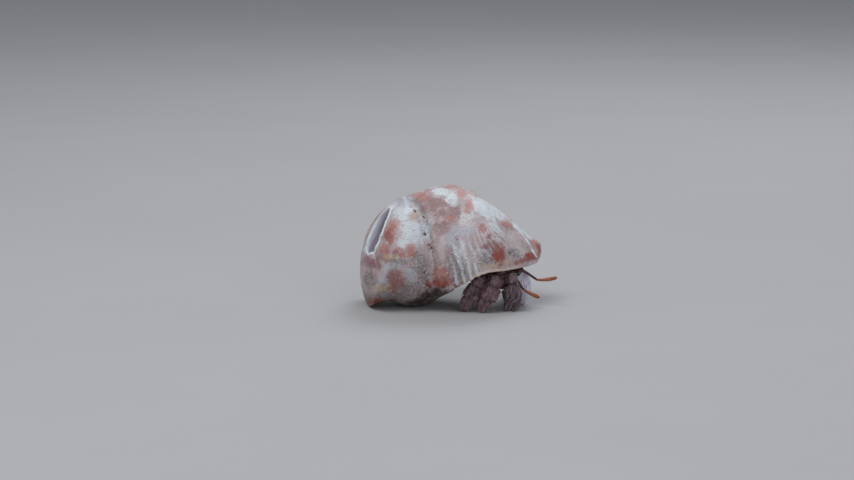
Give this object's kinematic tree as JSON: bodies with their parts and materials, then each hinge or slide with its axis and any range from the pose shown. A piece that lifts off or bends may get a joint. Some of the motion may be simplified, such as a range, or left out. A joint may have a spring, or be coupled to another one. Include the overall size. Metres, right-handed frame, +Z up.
{
  "type": "hermit crab",
  "caption": "Land hermit crab leaning out of the worn, coiled snail shell it carries, claws and legs on the floor, life size and still",
  "frame": {"origin": "on the floor, under the middle of the whole model", "axes": "+Z up, +X the way the crab heads, which is the long way of the model; +Y its left"},
  "size_m": [0.035, 0.022, 0.0214],
  "materials": {
    "shell": "worn matt seashell",
    "carapace": "satin chitin",
    "abdomen": "soft moist skin",
    "eyestalk": "satin chitin",
    "eye": "wet black",
    "feeler": "satin chitin",
    "feeler_club": "satin orange chitin",
    "claw": "satin lilac chitin",
    "leg": "satin plum chitin"
  },
  "bodies": {
    "root": {"shell": "shell", "thorax": "carapace", "carapace_shield": "carapace", "abdomen_front": "abdomen", "abdomen_middle": "abdomen", "abdomen_rear": "abdomen", "tail_fan": "abdomen", "eyestalk_left": "eyestalk", "eyestalk_right": "eyestalk", "eye_left": "eye", "eye_right": "eye", "antennule_left": "feeler", "antennule_left_flagellum": "feeler_club", "antennule_right": "feeler", "antennule_right_flagellum": "feeler_club", "antenna_left": "feeler", "antenna_left_flagellum": "feeler", "antenna_right": "feeler", "antenna_right_flagellum": "feeler", "maxilliped_left": "leg", "maxilliped_right": "leg", "cheliped_left_merus": "claw", "cheliped_left_carpus": "claw", "cheliped_left_palm": "claw", "cheliped_left_finger": "claw", "cheliped_right_merus": "claw", "cheliped_right_carpus": "claw", "cheliped_right_palm": "claw", "cheliped_right_finger": "claw", "leg_second_right_merus": "leg", "leg_second_right_carpus": "leg", "leg_second_right_propodus": "leg", "leg_second_right_dactyl": "leg", "leg_third_right_merus": "leg", "leg_third_right_carpus": "leg", "leg_third_right_propodus": "leg", "leg_third_right_dactyl": "leg", "leg_second_left_merus": "leg", "leg_second_left_carpus": "leg", "leg_second_left_propodus": "leg", "leg_second_left_dactyl": "leg", "leg_third_left_merus": "leg", "leg_third_left_carpus": "leg", "leg_third_left_propodus": "leg", "leg_third_left_dactyl": "leg", "leg_fourth_left": "leg", "leg_fourth_right": "leg", "leg_fifth_left": "leg", "leg_fifth_right": "leg"}
  },
  "joints": []
}
